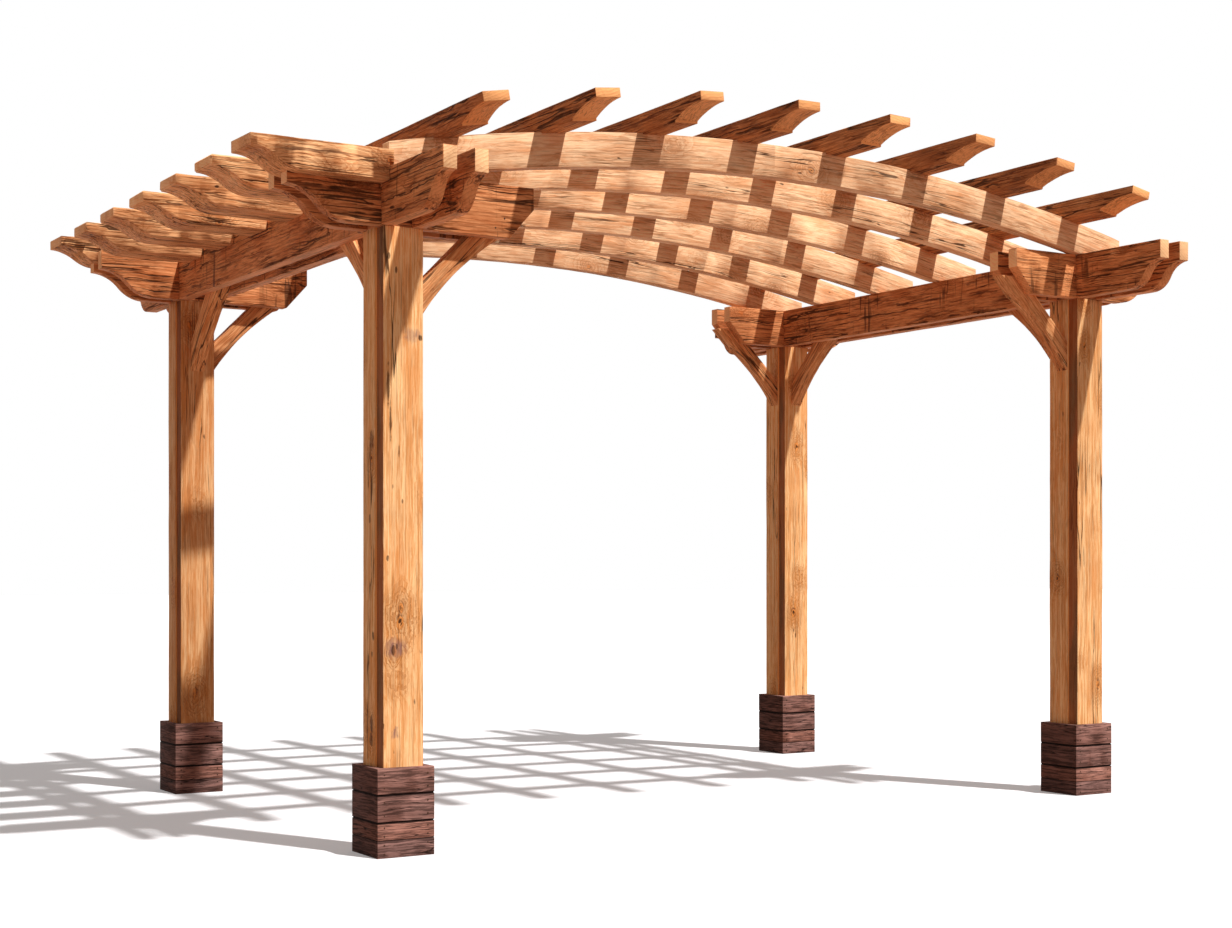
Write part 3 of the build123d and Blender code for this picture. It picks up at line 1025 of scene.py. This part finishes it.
class PERGOLA_OT_stage(bpy.types.Operator):
    """Sets the floor, the light and the camera"""

    bl_idname = "pergola.stage"
    bl_label = "Stage"

    def execute(self, context):
        scene, stage = context.scene, context.scene.pergola_stage
        scene.view_settings.view_transform = "Standard"
        mesh = bpy.data.meshes.new("floor")
        reach = stage.floor_reach
        edges = [(-reach, -reach, 0), (reach, -reach, 0), (reach, reach, 0), (-reach, reach, 0)]
        mesh.from_pydata(edges, [], [(0, 1, 2, 3)])
        floor = bpy.data.objects.new("floor", mesh)
        scene.collection.objects.link(floor)
        pale = Shader("pale_floor")
        pale.surface.inputs["Base Color"].default_value = (*stage.floor, 1)
        pale.surface.inputs["Roughness"].default_value = 0.9
        pale.surface.inputs["Specular IOR Level"].default_value = 0.1
        white = pale.node("ShaderNodeEmission", (), {"Color": (1, 1, 1), "Strength": 1.0})
        seen = pale.node(
            "ShaderNodeMixShader", (), {0: stage.lift, 1: pale.surface.outputs[0], 2: white.outputs[0]}
        )
        dull = pale.node("ShaderNodeBsdfDiffuse", (), {"Color": tuple(stage.bounce)})
        ground = pale.node(
            "ShaderNodeMixShader", (), {0: looked_at(pale), 1: dull.outputs[0], 2: seen.outputs[0]}
        )
        pale.feed(pale.tree.nodes["Material Output"].inputs["Surface"], ground.outputs[0])
        mesh.materials.append(pale.material)

        lamp = bpy.data.lights.new("sun", "SUN")
        lamp.energy = stage.sun
        lamp.angle = stage.sun_width
        lamp.color = stage.sun_tint
        sun = bpy.data.objects.new("sun", lamp)
        sun.rotation_euler = Vector(stage.sun_way).to_track_quat("-Z", "Y").to_euler()
        scene.collection.objects.link(sun)

        world = bpy.data.worlds.new("soft_sky")
        world.use_nodes = True
        scene.world = world
        sky = Tree(world.node_tree)
        light = sky.tree.nodes["Background"]
        light.inputs["Color"].default_value = (*stage.sky_tint, 1)
        light.inputs["Strength"].default_value = stage.sky
        backdrop = sky.node("ShaderNodeBackground", (), {"Color": (1, 1, 1), "Strength": 1.0})
        blend = sky.node(
            "ShaderNodeMixShader", (), {0: looked_at(sky), 1: light.outputs[0], 2: backdrop.outputs[0]}
        )
        sky.feed(sky.tree.nodes["World Output"].inputs["Surface"], blend.outputs[0])

        lens = bpy.data.cameras.new("camera")
        lens.lens, lens.sensor_width, lens.sensor_fit = stage.lens, 36.0, "HORIZONTAL"
        lens.shift_y = stage.rise
        camera = bpy.data.objects.new("camera", lens)
        camera.location = stage.stand
        camera.rotation_euler = (math.pi / 2, 0, -stage.turn)
        scene.collection.objects.link(camera)
        scene.camera = camera
        return {"FINISHED"}


OPERATORS = (
    PERGOLA_OT_posts,
    PERGOLA_OT_plinths,
    PERGOLA_OT_beams,
    PERGOLA_OT_braces,
    PERGOLA_OT_arches,
    PERGOLA_OT_tails,
    PERGOLA_OT_purlins,
    PERGOLA_OT_fixings,
    PERGOLA_OT_stage,
)


class PERGOLA_PT_panel(bpy.types.Panel):
    """Lists the steps that dress the pergola"""

    bl_idname = "PERGOLA_PT_panel"
    bl_label = "Pergola"
    bl_space_type = "VIEW_3D"
    bl_region_type = "UI"
    bl_category = "Pergola"

    def draw(self, context):
        for operator in OPERATORS:
            self.layout.operator(operator.bl_idname)


SETTINGS = {
    "pergola_timber": TimberSettings,
    "pergola_plinth": PlinthSettings,
    "pergola_fixing": FixingSettings,
    "pergola_stage": StageSettings,
}


def register():
    for group in SETTINGS.values():
        bpy.utils.register_class(group)
    for name, group in SETTINGS.items():
        setattr(bpy.types.Scene, name, PointerProperty(type=group))
    for operator in OPERATORS:
        bpy.utils.register_class(operator)
    bpy.utils.register_class(PERGOLA_PT_panel)


def unregister():
    bpy.utils.unregister_class(PERGOLA_PT_panel)
    for operator in reversed(OPERATORS):
        bpy.utils.unregister_class(operator)
    for name, group in SETTINGS.items():
        delattr(bpy.types.Scene, name)
        bpy.utils.unregister_class(group)


def main():
    register()
    bpy.ops.pergola.posts()
    bpy.ops.pergola.plinths()
    bpy.ops.pergola.beams()
    bpy.ops.pergola.braces()
    bpy.ops.pergola.arches()
    bpy.ops.pergola.tails()
    bpy.ops.pergola.purlins()
    bpy.ops.pergola.fixings()
    bpy.ops.pergola.stage()


if __name__ == "__main__":
    main()
